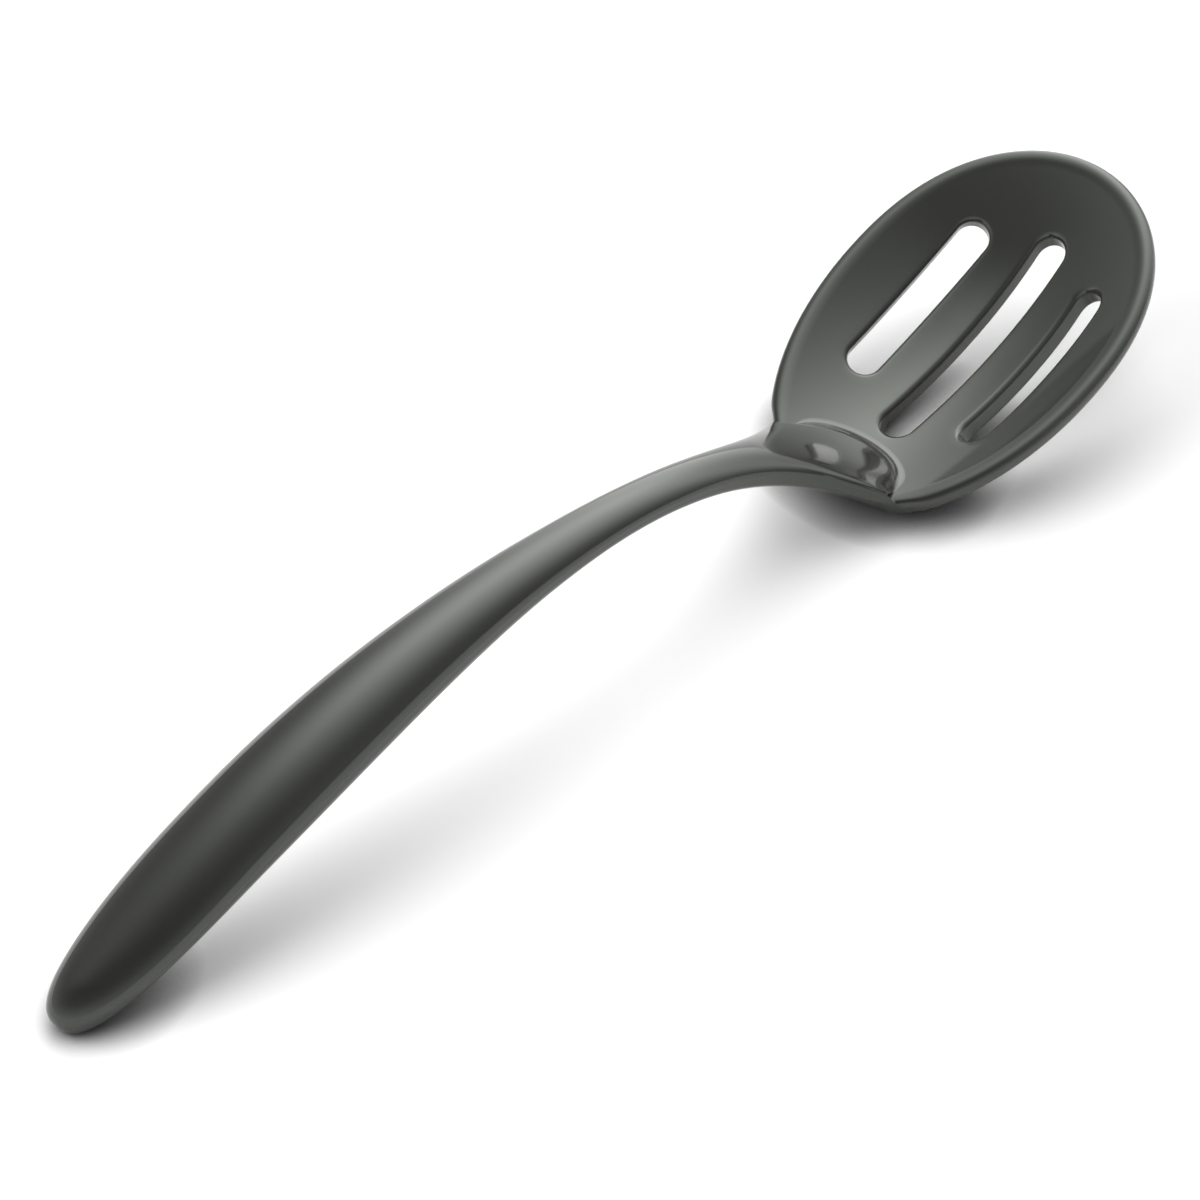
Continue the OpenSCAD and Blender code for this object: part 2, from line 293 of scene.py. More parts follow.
# %% From points to a piece
# A smooth outline would stand a hair outside the construction's facets, so pieces are made a hair smaller.
SNUG = 0.9985


def make_piece(name, node, slot, points, faces, normals):
    """A closed, smooth mesh from points in mm; equal points are joined, and a zero normal is left free."""
    spots, where = np.unique(points.round(4), axis=0, return_inverse=True)
    where = where.reshape(-1)
    facing = np.zeros_like(spots)
    np.add.at(facing, where, normals)
    loops = [list(dict.fromkeys(where[face].tolist())) for face in faces]
    mesh = bpy.data.meshes.new(name)
    mesh.from_pydata((spots * MM * SNUG).tolist(), [], [loop for loop in loops if len(loop) > 2])
    work = bmesh.new()
    work.from_mesh(mesh)
    bmesh.ops.recalc_face_normals(work, faces=work.faces)
    open_edges = sum(not edge.is_manifold for edge in work.edges)
    volume = work.calc_volume() / MM ** 3
    work.to_mesh(mesh)
    work.free()
    mesh.shade_smooth()
    outward = np.array([n.vector for n in mesh.vertex_normals])
    facing = unit(facing)
    facing[np.sum(facing * outward, axis=1) < 0] *= -1
    mesh.normals_split_custom_set_from_vertices(facing.tolist())
    piece = bpy.data.objects.new(name, mesh)
    bpy.context.scene.collection.objects.link(piece)
    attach(piece, "root")
    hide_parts(node)
    print(f"{name}: {len(mesh.polygons)} faces, {volume:.0f} cubic mm, {open_edges} open edges")
    return piece


# %% [markdown]
# The rim of the pressed bowl is rounded: the coat flows from the dish over the edge and down the outside.
# Its section is two Bezier curves, one from the dish up to the outermost line and one from there to the
# underside. Each leaves its surface along the surface's own slope, so that no line shows where they start.

# %% Helpers for the rim
corner_run = 6.0


def way_out(o):
    """Directions out of the dish at places on its outline; at the neck they turn to point sideways."""
    along = (reach(o[:, 0] + probe) - reach(o[:, 0] - probe)) / (2 * probe)
    out = unit(stack(along, 2 * o[:, 1] / dish_half ** 2))
    sideways = stack(0 * along, np.sign(o[:, 1]))
    return unit(sideways + (out - sideways) * ease(o[:, :1] / corner_run))


def bezier(a, b, c, d, steps):
    """Points on cubic Bezier curves, with the curve's number first and the point's number second."""
    t = np.linspace(0, 1, steps + 1)[None, :, None]
    a, b, c, d = (p[:, None, :] for p in (a, b, c, d))
    return a * (1 - t) ** 3 + 3 * b * t * (1 - t) ** 2 + 3 * c * t ** 2 * (1 - t) + d * t ** 3


# %% The rim of the bowl
# Lengths of the Bezier handles, in mm: out of the dish, above and below the outermost line, and underneath.
rim_leave = 2.5
rim_crown = 1.7
rim_fall = 2.0
rim_tuck = 3.6
rim_inset = 1.8
rim_steps = 8
side_steps = 140


def rim_sections(o):
    """The rim's section at places on the outline, from the dish round to the underside."""
    d = way_out(o)
    inner = o - rim_inset * d
    along, across = dish_slopes(inner[:, 0], inner[:, 1])
    slope = along * d[:, 0] + across * d[:, 1]
    climb = unit(stack(np.ones_like(slope), slope))
    top = stack(-rim_inset, dish(inner[:, 0], inner[:, 1]))
    bottom = top - (0, bowl_wall)
    outmost = stack(rim_r + 0 * slope, -rim_r)
    upper = bezier(top, top + rim_leave * climb, outmost + (0, rim_crown), outmost, rim_steps)
    lower = bezier(outmost, outmost - (0, rim_fall), bottom + rim_tuck * climb, bottom, rim_steps)
    section = np.concatenate([upper, lower[:, 1:]], axis=1)
    return stack(o[:, None, 0] + d[:, None, 0] * section[..., 0],
                 o[:, None, 1] + d[:, None, 1] * section[..., 0], section[..., 1])


side_u = (bowl_len - rim_r) * (1 - (1 - np.linspace(0, 1, side_steps + 1)) ** 2)
right_side = stack(side_u, -dish_half * np.sqrt(np.clip(1 - reach(side_u), 0, None)))
outline = np.concatenate([right_side, right_side[-2::-1] * (1, -1)])
rim = rim_sections(outline)
rim_rows = rim.shape[1]
print("the rim is", round(2 * np.abs(rim[..., 1]).max(), 2), "mm wide, with", len(rim), "sections")

# %% Directions that the rim faces
before = 2 * rim[:1] - rim[1:2]
after = 2 * rim[-1:] - rim[-2:-1]
rim_normals = np.zeros_like(rim)
rim_normals[:, 1:-1] = grid_normals(np.concatenate([before, rim, after]))
for row, sign in ((0, 1), (-1, -1)):
    along, across = dish_slopes(rim[:, row, 0], rim[:, row, 1])
    rim_normals[:, row] = sign * unit(stack(-along, -across, 1))
print("directions for", rim_normals.size // 3, "points of the rim")

# %% [markdown]
# The slots drain liquid. They are punched square to the wall, and the coat rounds their edges. Each slot is a
# set of rings: the first lies on the dish, the next ones turn over the edge, and the last lies on the
# underside. A boolean cut with a bevel would look much the same, but it leaves long thin faces, which a gloss
# shows.

# %% Sizes of the slots, in millimetres
slot_w = 6.5
slot_pitch = 14.6
slot_edge_r = 1.0
# Each slot has its place across the bowl, and its distances from the neck and from the tip.
SLOTS = {"right": (-slot_pitch, 18.6, 20.4), "middle": (0.0, 11.8, 14.8), "left": (slot_pitch, 18.6, 20.4)}
print("bars between the slots:", round(slot_pitch - slot_w, 1), "mm")

# %% The rings of the slots
line_points = 40
turn_points = 24
edge_points = 8
ring_margin = 0.3
settle_rounds = 12


def slot_rings(v_mid, start, end):
    """Rings of a slot in the bowl's frame: one beyond its edge, those over the edge, one beyond below."""
    length = bowl_len - start - end
    half = (length - slot_w) / 2
    u_mid = start + length / 2
    lean = np.arctan(dish_slopes(u_mid, v_mid)[1])
    line = np.linspace(-half, half, line_points + 1)[:-1]
    turn = np.linspace(-np.pi / 2, np.pi / 2, turn_points + 1)[:-1]
    base = np.concatenate([line, 0 * turn + half, -line, 0 * turn - half])
    angle = np.concatenate([0 * line - np.pi / 2, turn, 0 * line + np.pi / 2, turn + np.pi])

    def place(x, y, z):
        """A place beside the slot's middle, turned square to the wall."""
        across = v_mid + y * np.cos(lean) - z * np.sin(lean)
        return u_mid + x, across, dish(u_mid, v_mid) + y * np.sin(lean) + z * np.cos(lean)

    def ring(out, drop, sink):
        """A ring some way outside the slot, let down onto the dish or the underside and then sunk."""
        x = base + (slot_w / 2 + out) * np.cos(angle)
        y = (slot_w / 2 + out) * np.sin(angle)
        z = 0 * x
        for _ in range(settle_rounds):
            u, v, w = place(x, y, z)
            z = z - (w - dish(u, v) + drop) * np.cos(lean)
        return stack(*place(x, y, z - sink))

    turns = np.linspace(0, np.pi / 2, edge_points)
    over = [(slot_edge_r * (1 - np.sin(t)), slot_edge_r * (1 - np.cos(t))) for t in turns]
    beyond = slot_edge_r + ring_margin
    top = [ring(beyond, 0, 0)] + [ring(out, 0, sink) for out, sink in over]
    bottom = [ring(out, bowl_wall, -sink) for out, sink in over[::-1]] + [ring(beyond, bowl_wall, 0)]
    return np.stack(top + bottom, axis=1)


slots = {}
slot_normals = {}
for side, (v_mid, start, end) in SLOTS.items():
    rings = slot_rings(v_mid, start, end)
    slots[side] = rings[:, 1:-1]
    slot_normals[side] = grid_normals(np.concatenate([rings[-1:], rings, rings[:1]]))
    print(side, "slot:", rings.shape[0], "points round,", slots[side].shape[1], "rings")

# %% [markdown]
# The dish between the rim and the slots is laid out flat first, as a sheet metal worker would do. Points on
# an even triangular grid fill it, Blender's own triangulation joins them to the rings and to the rim, and
# each point is then lifted onto the formula of the dish. The underside is made the same way, one wall lower.

# %% The rim and the back edge as one belt
tang_w = 5.6
tang_points = 7
wing_points = 12

neck_v = dish_neck - rim_inset
tang_v = np.linspace(tang_w / 2, -tang_w / 2, tang_points)
wing_v = np.linspace(neck_v, tang_w / 2, wing_points)[1:-1]
back_v = np.concatenate([wing_v, tang_v, -wing_v[::-1]])
back_drop = np.linspace(0, bowl_wall, rim_rows)
back = stack(0 * back_v[:, None], back_v[:, None], dish(0 * back_v, back_v)[:, None] - back_drop[None])
belt = np.concatenate([rim, back])
belt_normals = np.concatenate([rim_normals, 0 * back])
print("the belt round the bowl has", len(belt), "columns")


# %% Helpers for flat sheets
grid_step = 1.1
edge_clearance = 0.6 * grid_step
same_spot = 1e-7


def inside(loop, places):
    """Which places lie inside a closed outline."""
    a, b = loop, np.roll(loop, -1, axis=0)
    x, y = places[:, :1], places[:, 1:]
    crosses = (a[:, 1] > y) != (b[:, 1] > y)
    rise = np.where(a[:, 1] == b[:, 1], 1, b[:, 1] - a[:, 1])
    at = a[:, 0] + (y - a[:, 1]) * (b[:, 0] - a[:, 0]) / rise
    return np.sum(crosses & (x < at), axis=1) % 2 == 1


def nearest(loop, places):
    """Distance from each place to the nearest point of an outline."""
    return np.sqrt(np.min(np.sum((places[:, None] - loop[None]) ** 2, axis=2), axis=1))


def sheet(outer, holes):
    """Inner points and triangles of a flat sheet between an outline and its holes."""
    loops = [outer] + holes
    rows = np.arange(0, bowl_len, grid_step * np.sqrt(3) / 2)
    columns = np.arange(-bowl_w / 2, bowl_w / 2, grid_step)
    u, v = np.meshgrid(rows, columns, indexing="ij")
    v = v + grid_step / 2 * (np.arange(len(rows)) % 2)[:, None]
    places = np.stack([u.ravel(), v.ravel()], 1)
    keep = inside(outer, places)
    for loop in loops:
        keep &= nearest(loop, places) > edge_clearance
    for hole in holes:
        keep &= ~inside(hole, places)
    places = places[keep]
    spots = np.concatenate(loops + [places])
    edges = []
    for loop in loops:
        ring = np.arange(len(loop)) + (edges[-1][0] + 1 if edges else 0)
        edges += np.stack([ring, np.roll(ring, -1)], 1).tolist()
    found = geometry.delaunay_2d_cdt([Vector(p) for p in spots], edges, [], 0, same_spot, True)
    triangles = np.array(found[2])
    middle = spots[triangles].mean(axis=1)
    keep = inside(outer, middle)
    for hole in holes:
        keep &= ~inside(hole, middle)
    return places, triangles[keep]


# %% The dish, the underside and the walls of the slots
points = [belt.reshape(-1, 3)] + [rings.reshape(-1, 3) for rings in slots.values()]
normals = [belt_normals.reshape(-1, 3)] + [slot_normals[side].reshape(-1, 3) for side in slots]
first = np.cumsum([0] + [len(p) for p in points])
faces = ring_faces(len(belt), rim_rows)
for k, rings in enumerate(slots.values()):
    faces += [[c + first[k + 1] for c in face] for face in ring_faces(*rings.shape[:2])]

for row, sign, drop in ((0, 1, 0), (-1, -1, bowl_wall)):
    places, triangles = sheet(belt[:, row, :2], [rings[:, row, :2] for rings in slots.values()])
    shared = [np.arange(len(belt)) * rim_rows + row % rim_rows]
    for k, rings in enumerate(slots.values()):
        shared.append(first[k + 1] + np.arange(len(rings)) * rings.shape[1] + row % rings.shape[1])
    start = sum(len(p) for p in points)
    number = np.concatenate(shared + [start + np.arange(len(places))])
    faces += number[triangles].tolist()
    u, v = places.T
    along, across = dish_slopes(u, v)
    points.append(stack(u, v, dish(u, v) - drop))
    normals.append(sign * unit(stack(-along, -across, 1)))
    print("sheet of", len(triangles), "triangles")

# %% [markdown]
# The tang is the tongue of the bowl that the maker pushes into the handle before welding. Nobody sees it, but
# it is part of the pressing, so it grows out of the bowl's back edge: some faces there are left out, and
# their border is drawn along the middle line of the handle.

# %% The place of the tang on the back edge
tang_t = 1.5
tang_rows = np.nonzero(np.abs(back_drop - rim_r) < tang_t / 2 + probe)[0]
low, high = tang_rows[0], tang_rows[-1]
left_column = len(rim) + len(wing_v)
right_column = left_column + len(tang_v) - 1
border = [(c, low) for c in range(left_column, right_column)]
border += [(right_column, r) for r in range(low, high)]
border += [(c, high) for c in range(right_column, left_column, -1)]
border += [(left_column, r) for r in range(high, low, -1)]
border = [c * rim_rows + r for c, r in border]
patch = {c * rim_rows + r for c in range(left_column, right_column + 1) for r in range(low, high + 1)}
faces = [face for face in faces if not patch.issuperset(face)]
print("the tang starts from", len(border), "points")

# %% The tang, and the bowl as one piece
tang_len = 22.0
tang_steps = 10

root = points[0][border]
offset = root - (0, 0, dish(0.0, 0.0) - rim_r)
tang_f = 1 - tang_len / handle_len * np.linspace(0, 1, tang_steps + 1)[1:, None]
tang_lean = spine_angle(tang_f, tail_h)
tang_x = neck_x - handle_len * (1 - tang_f)
tang = stack(tang_x - np.sin(tang_lean) * offset[:, 2], 0 * tang_x + offset[:, 1],
             spine_h(tang_f, tail_h) + np.cos(tang_lean) * offset[:, 2])

bowl_points = bowl_place(*np.concatenate(points).T)
bowl_normals = bowl_turn(np.concatenate(normals))
numbers = np.concatenate([border, len(bowl_points) + np.arange(tang.size // 3)])
faces += [[int(numbers[c]) for c in face] for face in grid_faces(tang_steps + 1, len(border), True)]
faces.append([int(c) for c in numbers[-len(border):]])
bowl_points = np.concatenate([bowl_points, tang.reshape(-1, 3)])
bowl_normals = np.concatenate([bowl_normals, np.zeros((tang.size // 3, 3))])
slotted_bowl = make_piece("coated_bowl", "slotted_bowl", "bowl_coat", bowl_points, faces, bowl_normals)

# %% [markdown]
# The handle's two half shells are grids of points: rows along the handle and columns round it. Towards the
# neck the rows of the top shell bow back, because its nose starts there: from that bow the nose comes down to
# a half oval in the dish, which makes the soft eye-shaped facet between the handle and the bowl.

# %% Rows of the half shells
columns = 72
edge_columns = rim_steps
crease_columns = columns - 2 * edge_columns
tail_rows = 50
tail_end = 0.12
tail_crowding = 2.5
arm_rows = 150
nose_back = 13.0
nose_bow = 10
edge_back = 3.0
under_back = 5.0
ridge_angle = np.radians(8)

angles = np.linspace(0, np.pi, columns + 1)
crease_turn = np.linspace(0, np.pi, crease_columns + 1)
edge_angles = np.linspace(0, ridge_angle, edge_columns + 1)[:-1]
nose_angles = np.linspace(ridge_angle, np.pi - ridge_angle, crease_columns + 1)
neck_angles = np.concatenate([edge_angles, nose_angles, np.pi - edge_angles[::-1]])
top_back = edge_back + (nose_back - edge_back) * (1 - np.abs(np.cos(neck_angles)) ** nose_bow)
bottom_back = edge_back + (under_back - edge_back) * np.sin(angles)
# Rows crowd towards the tail's tip, because the shell closes fast there.
tail_part = tail_end * np.linspace(0, 1, tail_rows + 1) ** tail_crowding
row_share = np.concatenate([tail_part, np.linspace(tail_end, 1, arm_rows + 1)[1:]])[:, None]
row_angles = angles + (neck_angles - angles) * ease(neck_share(row_share))
top_body = shell_point(row_share * (1 - top_back / handle_len), row_angles, 1)
bottom_body = shell_point(row_share * (1 - bottom_back / handle_len), angles + 0 * row_share, -1)
print("each half shell has", len(row_share), "rows before the neck")

# %% [markdown]
# In front each shell ends on the bowl. Beside the nose its edge lies on the rounded rim, and between, the top
# shell ends on a half oval in the dish and the bottom shell on the bowl's lower back edge. These edges are
# taken from the bowl's own points, so that shell and bowl share them exactly.

# %% Helpers for the front edges
nose_len = 8.0
outer_rim = rim[:, rim_steps]
corner_slope = (outer_rim[0, 1] - outer_rim[1, 1]) / (outer_rim[1, 0] - outer_rim[0, 0])


def end_section(back, inset):
    """The bowl's end at the neck, moved back and drawn in: the upper rim, then the lower rim."""
    shrink = 1 - back * corner_slope / neck_half
    centre = np.array([0, -dish_neck, -rim_r])
    section = centre + (rim[0] - centre) * (1 - inset / rim_r)
    section = stack(section[:, 0] - back, section[:, 1] * shrink, section[:, 2])
    return section[rim_steps::-1], section[rim_steps:]


def across_neck(edge, middle):
    """A front edge from the right rim over the middle to the left rim."""
    return np.concatenate([edge[:-1], middle, edge[-2::-1] * (1, -1, 1)])


def crease(inset):
    """The half oval along which the nose meets the dish."""
    u = (nose_len - inset) * np.sin(crease_turn)
    v = -(neck_v - inset) * np.cos(crease_turn)
    return stack(u, v, dish(u, v))


def lip(back, inset):
    """The bowl's lower back edge."""
    v = -(neck_v - inset) * np.cos(crease_turn) * (1 - back * corner_slope / neck_half)
    return stack(0 * v - back, v, dish(0 * v - back, v) - bowl_wall + inset)


def front_edge(middle, back, inset, up):
    """A front edge in the spoon's frame."""
    upper, lower = end_section(back, inset)
    return bowl_place(*across_neck(upper if up > 0 else lower, middle).T)


# %% Front edges of the half shells
lip_backs = (lip_weld_w, lip_weld_w / 2, 0)
top_front = front_edge(crease(0), 0, 0, 1)
top_front_inner = front_edge(crease(shell_wall), 0, shell_wall, 1)
bottom_fronts = [front_edge(lip(back, 0), back, 0, -1) for back in lip_backs]
bottom_fronts_inner = [front_edge(lip(back, shell_wall), back, shell_wall, -1) for back in lip_backs]
print("the nose reaches x =", round(top_front[:, 0].max(), 2), "mm")

# %% [markdown]
# Between the last row of a shell and its front edge the surface has to turn from the handle's slope into the
# bowl's. Hermite curves do that: they have a direction at each end. Beside the nose both directions are kept,
# so the coat flows from the handle into the rim. On the nose each line arrives as it left, mirrored, and only
# part of that turn is used, so the facet is slightly full, which its round reflections show.

# %% Helper for the neck
front_rows = 24


def blend_rows(root, before, front, onward, softness):
    """Rows from a root row to a front edge, straight where softness is 0 and flowing where it is 1."""
    chord = front - root
    size = np.linalg.norm(chord, axis=-1, keepdims=True)
    leave = chord + softness[:, None] * (unit(root - before) * size - chord)
    arrive = chord + softness[:, None] * (unit(onward - front) * size - chord)
    t = np.linspace(0, 1, front_rows + 1)[1:, None, None]
    return (root * (2 * t ** 3 - 3 * t ** 2 + 1) + leave * (t ** 3 - 2 * t ** 2 + t)
            + front * (3 * t ** 2 - 2 * t ** 3) + arrive * (t ** 3 - t ** 2))


# %% The neck of each half shell
nose_curve = 0.45
fade_turn = np.radians(35)
nose_columns = slice(edge_columns, columns + 1 - edge_columns)

fade = np.clip(1 - crease_turn / fade_turn, 0, 1) + np.clip(1 - (np.pi - crease_turn) / fade_turn, 0, 1)
flow = np.ones(columns + 1)
flow[nose_columns] = nose_curve + (1 - nose_curve) * ease(fade)
top_onward = bowl_place(*across_neck(rim[1, rim_steps::-1], crease(0)).T)
chord = top_front - top_body[-1]
leaving = unit(top_body[-1] - top_body[-2]) * np.linalg.norm(chord, axis=-1, keepdims=True)
top_onward[nose_columns] = (top_front + 2 * chord - leaving)[nose_columns]
top_neck = blend_rows(top_body[-1], top_body[-2], top_front, top_onward, flow)
bottom_neck = blend_rows(bottom_body[-1], bottom_body[-2], bottom_fronts[0], bottom_fronts[1],
                         np.ones(columns + 1))
top = np.concatenate([top_body, top_neck])
bottom = np.concatenate([bottom_body, bottom_neck])
print("shell rows:", top.shape[0], "columns:", top.shape[1])

# %% The ridge of the nose
# Where the handle turns down into the nose, the thick coat rounds the ridge: rows there are evened out.
ridge_reach = 8
ridge_passes = 40

ridge = slice(len(top_body) - ridge_reach, len(top_body) + ridge_reach + 1)
sharp = top[len(top_body) - 1, columns // 2].copy()
for _ in range(ridge_passes):
    between = (top[ridge.start - 1:ridge.stop - 1] + top[ridge.start + 1:ridge.stop + 1]) / 2
    top[ridge] += 0.5 * (between - top[ridge])
lowered = np.linalg.norm(top[len(top_body) - 1, columns // 2] - sharp)
print("the coat rounds the ridge off by", round(lowered, 2), "mm")

# %% [markdown]
# Now each point of the shells gets the direction it faces. To find it at the edges, each grid is padded with
# its neighbours' points: the other shell beyond the seam and the bowl beyond the front. At the corners of the
# neck the directions turn step by step into those of the rim, so the gloss has no break there.

# %% Directions that the half shells face
turn_rows = 14
lip_ahead = 0.5


def padded(grid, front, right, left):
    """A grid with one more row at each end and one more column at each side."""
    grid = np.concatenate([grid[:1], grid, front[None]])
    right = np.concatenate([right[:1], right, right[-1:]])
    left = np.concatenate([left[:1], left, left[-1:]])
    return np.concatenate([right[:, None], grid, left[:, None]], axis=1)


ahead = 2 * top[-1] - top[-2]
under_ahead = bowl_place(*across_neck(rim[1, rim_steps:], lip(-lip_ahead, 0)).T)
bottom_long = np.concatenate([bottom, np.array(bottom_fronts[1:])])
top_long = np.concatenate([top, top[-1:], top[-1:]])
top_normals = grid_normals(padded(top, ahead, bottom[:, 1], bottom[:, -2]))
bottom_normals = -grid_normals(padded(bottom_long, under_ahead, top_long[:, 1], top_long[:, -2]))
corner_up = bowl_turn(rim_normals[0, rim_steps::-1])
corner_down = bowl_turn(rim_normals[0, rim_steps:])
turn_in = ease(np.linspace(0, 1, turn_rows))[:, None, None]
for facing, corner in ((top_normals, corner_up), (bottom_normals, corner_down)):
    facing[0] = unit(facing[1].mean(axis=0))
    for part, goal in ((facing[-turn_rows:, :edge_columns + 1], corner),
                       (facing[-turn_rows:, -edge_columns - 1:], corner[::-1] * (1, -1, 1))):
        part *= np.sign(np.sum(part * goal, axis=-1, keepdims=True))
        part += turn_in * (goal - part)
        part[:] = unit(part)

crown = (len(top_body) // 2, columns // 2)
top_normals *= np.sign(top_normals[crown][2])
bottom_normals *= -np.sign(bottom_normals[crown][2])
bottom_part = bottom_normals[:len(bottom)]
print("in its middle the top shell faces", top_normals[crown].round(2))


# %% [markdown]
# A half shell is pressed from sheet, so it has an inside too, one wall in. The outside and the inside are
# sewn into one closed skin, which is what a printer or a game engine wants to find.

# %% The half shells
def wall_in(grid, facing, inner_front):
    """The inside of a shell: one wall in along the body, then straight to the inner front edge."""
    rows = len(grid) - front_rows
    body = grid[:rows] - shell_wall * facing[:rows]
    t = np.linspace(0, 1, front_rows + 1)[1:, None, None]
    return np.concatenate([body, body[-1] + (inner_front - body[-1]) * t])


def skin(outer, inner, outer_normals):
    """Points, faces and normals of a closed skin between an outer and an inner grid of rows."""
    rows, n = outer.shape[:2]
    loop = np.concatenate([outer, inner[:, ::-1]], axis=1)
    facing = np.concatenate([outer_normals, 0 * inner], axis=1)
    sides = grid_faces(rows, 2 * n, True)
    ends = []
    for base in (0, (rows - 1) * 2 * n):
        ends += [[base + j, base + j + 1, base + 2 * n - 2 - j, base + 2 * n - 1 - j] for j in range(n - 1)]
    return loop.reshape(-1, 3), sides + ends, facing.reshape(-1, 3)


top_inner = wall_in(top, top_normals, top_front_inner)
bottom_inner = wall_in(bottom, bottom_part, bottom_fronts_inner[0])
top_shell = make_piece("coated_top_shell", "handle_top_shell", "handle_coat",
                       *skin(top, top_inner, top_normals))
bottom_shell = make_piece("coated_bottom_shell", "handle_bottom_shell", "handle_coat",
                          *skin(bottom, bottom_inner, bottom_part))

# %% [markdown]
# Three welds hold the spoon together. The seam weld runs down both sides of the handle and round its tail,
# the lip weld joins the bottom shell to the bowl, and both are ground flush. The nose weld stays a small
# hollow fillet where the nose meets the dish: a Bezier curve drawn towards the corner gives that hollow.

# %% The seam weld and the lip weld
def both_sides(grid):
    """The edges of a shell's rows as one line: from the left front round the tail to the right front."""
    return np.concatenate([grid[::-1, -1], grid[1:, 0]])


seam_outer = np.stack([both_sides(top), both_sides(bottom)], axis=1)
seam_inner = np.stack([both_sides(top_inner), both_sides(bottom_inner)], axis=1)
seam_normals = np.stack([both_sides(top_normals), both_sides(bottom_part)], axis=1)
seam_weld = make_piece("coated_seam_weld", "handle_seam_weld", "weld_coat",
                       *skin(seam_outer, seam_inner, seam_normals))

lip_normals = bottom_normals[len(bottom) - 1:]
lip_weld = make_piece("coated_lip_weld", "lip_weld", "weld_coat",
                      *skin(np.array(bottom_fronts), np.array(bottom_fronts_inner), lip_normals))

# %% The hollow of the nose weld
fillet_leg = 1.9
fillet_steps = 8
# The fillet climbs the nose along the slope towards this row, counted back from the front edge.
fillet_row = -6
taper_turn = np.radians(40)
toe_sink = 0.03

taper = ease(np.sin(crease_turn) / np.sin(taper_turn))
toe_u = (nose_len + fillet_leg * taper) * np.sin(crease_turn)
toe_v = -(neck_v + fillet_leg * taper) * np.cos(crease_turn)
toe = bowl_place(toe_u, toe_v, dish(toe_u, toe_v) - toe_sink)
crease_line = top_front[nose_columns]
up_nose = unit(top[fillet_row, nose_columns] - crease_line)
head = crease_line + fillet_leg * taper[:, None] * up_nose
fillet = bezier(toe, toe / 3 + crease_line * 2 / 3, head / 3 + crease_line * 2 / 3, head, fillet_steps)
along, across = dish_slopes(toe_u, toe_v)
fillet_normals = np.zeros_like(fillet)
fillet_normals[1:-1, 1:-1] = grid_normals(fillet)
fillet_normals *= np.where(fillet_normals[..., 2:] < 0, -1, 1)
fillet_normals[:, 0] = bowl_turn(unit(stack(-along, -across, 1)))
fillet_normals[:, -1] = top_normals[-2, nose_columns]
print("the fillet has", fillet.shape[0], "sections")

# %% The nose weld
# At its ends the fillet runs out to nothing, so the outermost sections are left away.
inner_part = slice(1, -1)
section = np.concatenate([fillet, crease_line[:, None]], axis=1)[inner_part]
facing = np.concatenate([fillet_normals, 0 * crease_line[:, None]], axis=1)[inner_part]
rows, n = section.shape[:2]
weld_faces = grid_faces(rows, n, True) + [list(range(n)), [(rows - 1) * n + j for j in range(n)]]
nose_weld = make_piece("coated_nose_weld", "nose_weld", "weld_coat",
                       section.reshape(-1, 3), weld_faces, facing.reshape(-1, 3))

# %% [markdown]
# The coat is a baked enamel: a hard, glossy, dark grey with a touch of green, sprayed on and cured. To the
# eye it is almost black where it mirrors nothing, and it mirrors lamps and the white table sharply, more so
# at a slant. A sprayed coat is never quite even, so it has the faint waviness called orange peel, and its
# gloss wanders a little. Colours are sRGB hex values, and one function turns them to linear values.

# %% Helpers for materials
def linear(code):
    """An sRGB hex colour as linear red, green, blue and alpha."""
    parts = [int(code[k:k + 2], 16) / 255 for k in (1, 3, 5)]
    return [p / 12.92 if p <= 0.04045 else ((p + 0.055) / 1.055) ** 2.4 for p in parts] + [1.0]


def add_node(tree, kind, settings, inputs):
    """Adds a node, sets its properties and fills its inputs with values or with links from other nodes."""
    node = tree.nodes.new(kind)
    for name, value in settings.items():
        setattr(node, name, value)
    for name, value in inputs.items():
        if isinstance(value, bpy.types.NodeSocket):
            tree.links.new(value, node.inputs[name])
        else:
            node.inputs[name].default_value = value
    return node


def new_material(name):
    """An empty node material with its output."""
    material = bpy.data.materials.new(name)
    material.use_nodes = True
    material.node_tree.nodes.clear()
    output = material.node_tree.nodes.new("ShaderNodeOutputMaterial")
    return material, material.node_tree, output


# %% [markdown]
# Enamels have an index of refraction of about 1.5 to 1.6 and a roughness below 0.1. The bowl is a shade
# lighter than the handle, and that is painted light: its colour is lifted to stand in for light the bowl
# reflects that this studio does not give it, so the colour changes over the neck. The gloss has a trace of
# green, which gives the reflections the tint of the coat. Orange peel is 1 to 3 mm wide and only microns
# high.

# %% The enamel
peel_mm = 2.4
drift_mm = 45.0
# Painted light: between these two places along the spoon, in mm, the colour lifts to the bowl's lighter one.
bowl_lift_starts = 50.0
bowl_lift_full = 85.0
gloss_best = 0.06
gloss_worst = 0.10
enamel_ior = 1.55


